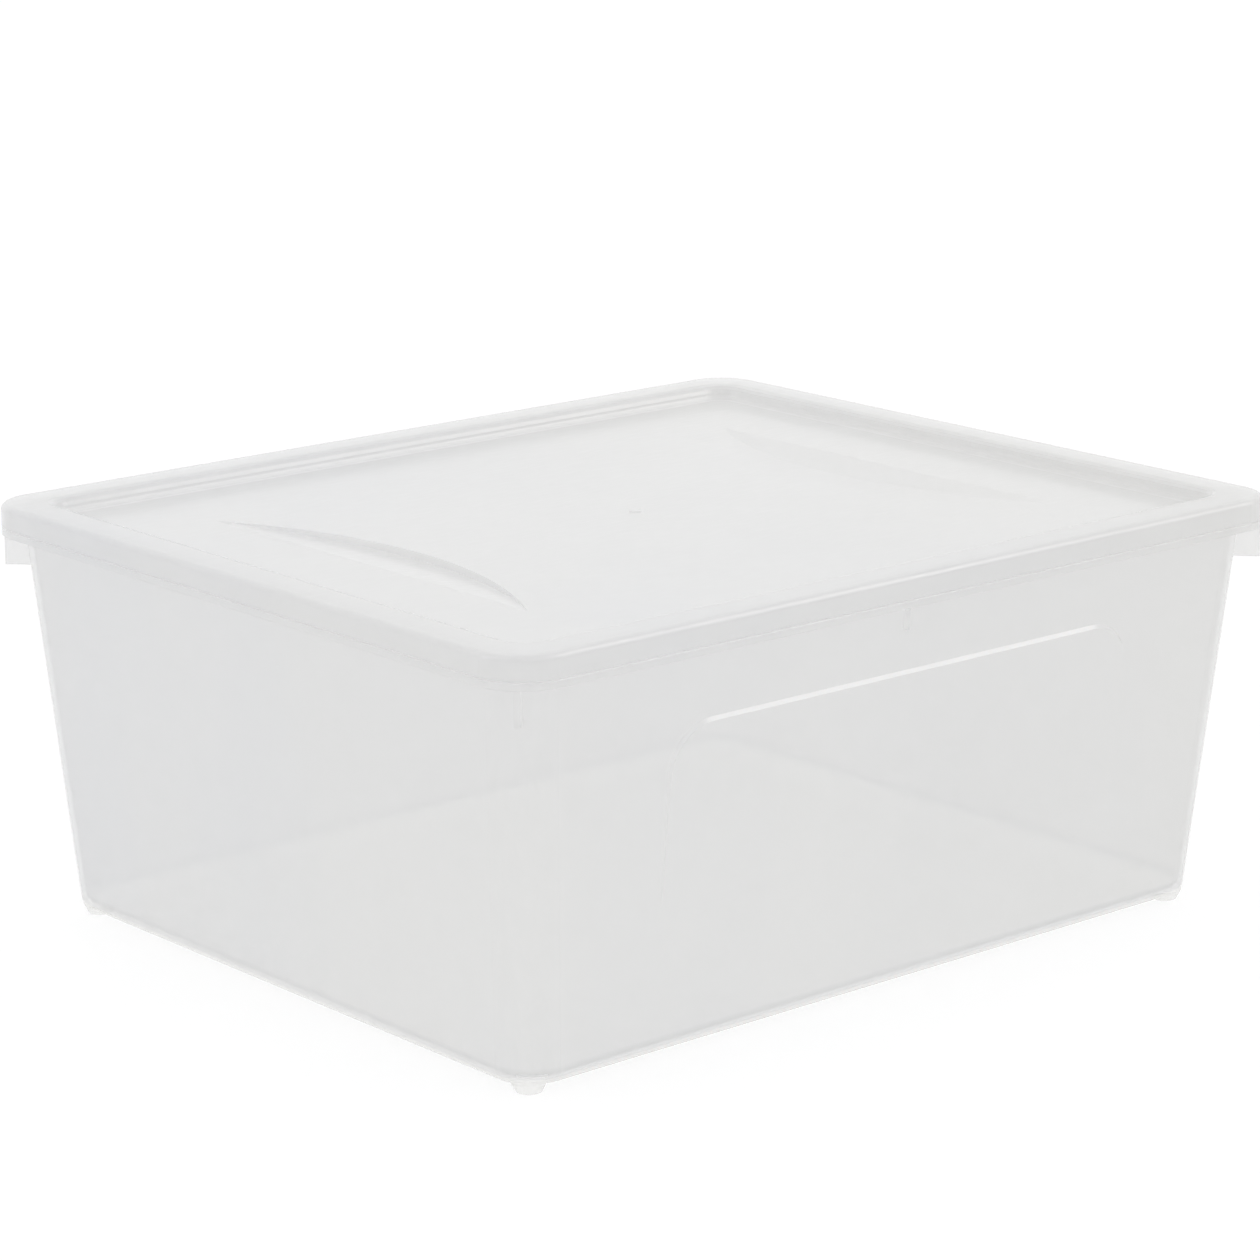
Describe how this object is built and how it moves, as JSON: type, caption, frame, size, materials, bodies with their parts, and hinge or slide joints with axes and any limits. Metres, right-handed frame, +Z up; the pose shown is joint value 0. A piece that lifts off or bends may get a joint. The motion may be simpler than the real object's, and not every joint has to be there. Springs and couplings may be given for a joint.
{
  "type": "shoe box",
  "caption": "Wide clear moulded shoe box with a lift-off lid: tapered walls with raised arch panels, corner gussets and feet, and a recessed lid that takes the next box.",
  "frame": {"origin": "on the ground at the centre of the footprint", "axes": "+X along the long side, +Y along the short side, +Z up out of the mouth"},
  "size_m": [0.403, 0.335, 0.172],
  "materials": {
    "tub_plastic": "clear moulded polypropylene, slightly milky, gloss outside",
    "lid_plastic": "clear moulded polypropylene, a little milkier than the tub, soft gloss on top"
  },
  "bodies": {
    "tub": {"tub": "tub_plastic"},
    "lid": {"lid": "lid_plastic"}
  },
  "joints": [
    {"name": "lid_lift", "type": "slide", "parent": "tub", "child": "lid", "axis": [0, 0, 1], "range_m": [0, 0.18]}
  ]
}
